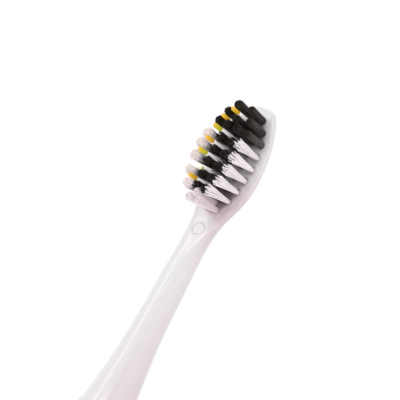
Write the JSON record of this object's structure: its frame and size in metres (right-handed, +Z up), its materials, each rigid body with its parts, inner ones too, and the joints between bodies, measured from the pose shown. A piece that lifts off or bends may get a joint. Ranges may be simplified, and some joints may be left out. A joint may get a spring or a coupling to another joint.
{
  "type": "electric toothbrush",
  "caption": "Rechargeable sonic toothbrush standing on its flat foot, with a slim round handle, one push button and a pull-off brush head with an oval field of tufts.",
  "frame": {"origin": "centre of the flat foot, on the surface that the brush stands on", "axes": "+Z up along the handle and the drive shaft, -Y the way the bristles and the button face"},
  "size_m": [0.0282, 0.0282, 0.247],
  "materials": {
    "handle_plastic": "glossy moulded, warm pinkish white",
    "cap_plastic": "glossy moulded, pinkish white",
    "bezel_plastic": "satin moulded, pale grey",
    "button_plastic": "fine matt, pinkish white",
    "lamp_lens": "polished, milky clear",
    "head_plastic": "glossy moulded, warm pinkish white",
    "ring_plastic": "glossy moulded, pale pink",
    "rubber": "matt",
    "insert_plastic": "natural moulded",
    "frame_plastic": "matt moulded grey",
    "copper_wire": "lacquered copper wire, wound",
    "cell_wrap": "shrink wrap, green",
    "nickel": "nickel plated strip",
    "board": "green lacquer",
    "chip": "moulded black",
    "lamp": "clear resin",
    "steel": "zinc plated",
    "spring_steel": "bright spring steel",
    "shaft_steel": "turned and polished",
    "bronze": "sintered bronze",
    "magnet": "nickel plated magnet",
    "black_filament": "black nylon filament",
    "white_filament": "pinkish white nylon filament"
  },
  "bodies": {
    "handle": {"handle_shell": "handle_plastic", "base_cap": "cap_plastic", "top_bezel": "bezel_plastic", "light_guide": "lamp_lens", "shaft_seal": "rubber", "base_seal": "rubber", "damper_ring": "rubber", "button_gasket": "rubber", "coil_bobbin": "insert_plastic", "chassis": "frame_plastic", "charging_coil": "copper_wire", "stator_coil_left": "copper_wire", "stator_coil_right": "copper_wire", "battery_cell": "cell_wrap", "battery_tab_top": "nickel", "battery_tab_bottom": "nickel", "circuit_board": "board", "control_chip": "chip", "driver_chip": "chip", "tact_switch": "chip", "indicator_led_upper": "lamp", "indicator_led_lower": "lamp", "motor_case": "steel", "motor_end_plate": "steel", "motor_screw_rear": "steel", "motor_screw_front": "steel", "stator_pole_left": "steel", "stator_pole_right": "steel", "bearing_upper": "bronze", "bearing_lower": "bronze"},
    "button": {"power_button": "button_plastic"},
    "drive": {"drive_shaft": "shaft_steel", "retaining_ring": "spring_steel", "rotor_yoke": "steel", "rotor_magnet_left": "magnet", "rotor_magnet_right": "magnet"},
    "brush_head": {"brush_head_shell": "head_plastic", "colour_ring": "ring_plastic", "shaft_socket": "insert_plastic", "socket_clip": "spring_steel", "bristle_plate_tip": "black_filament", "bristle_plate_main": "white_filament"}
  },
  "joints": [
    {"name": "drive_oscillation", "type": "hinge", "parent": "handle", "child": "drive", "pos_m": [0, 0, 0.1692], "axis": [0, 0, 1], "range_deg": [-5, 5], "stiffness_Nm_per_rad": 0.2},
    {"name": "head_release", "type": "slide", "parent": "drive", "child": "brush_head", "axis": [0, 0, 1], "range_m": [0, 0.02]},
    {"name": "button_press", "type": "slide", "parent": "handle", "child": "button", "axis": [0, 1, 0], "range_m": [0, 0.0005], "stiffness_N_per_m": 1500}
  ]
}
